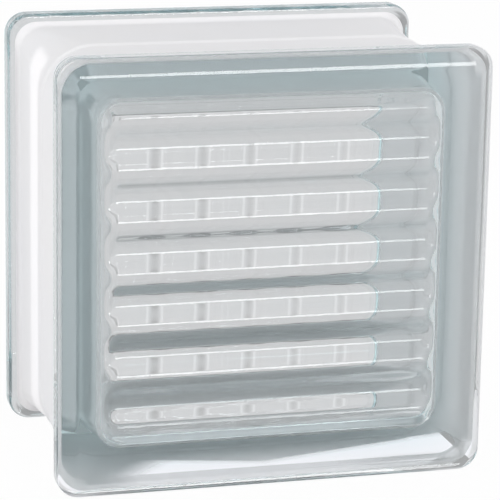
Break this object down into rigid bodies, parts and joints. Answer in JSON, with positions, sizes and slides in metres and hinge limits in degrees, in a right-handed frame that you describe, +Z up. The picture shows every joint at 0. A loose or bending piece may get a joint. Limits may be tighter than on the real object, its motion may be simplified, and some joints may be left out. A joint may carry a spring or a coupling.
{
  "type": "glass block",
  "caption": "Hollow square glass building block of two fused pressed halves, with crossed flutes inside and a white-coated mortar channel round its edge.",
  "frame": {"origin": "middle of the block's footprint, on the plane that the lower flange edges stand on", "axes": "+X to the right and +Z up as seen from the front, +Y from the front face to the back face"},
  "size_m": [0.146, 0.0984, 0.1461],
  "materials": {
    "clear_glass": "fire-polished clear pressed glass with a pale grey-green tint",
    "white_coat": "thin white satin polymer edge coat"
  },
  "bodies": {
    "root": {"front_half": "clear_glass", "back_half": "clear_glass", "edge_coat": "white_coat"}
  },
  "joints": []
}
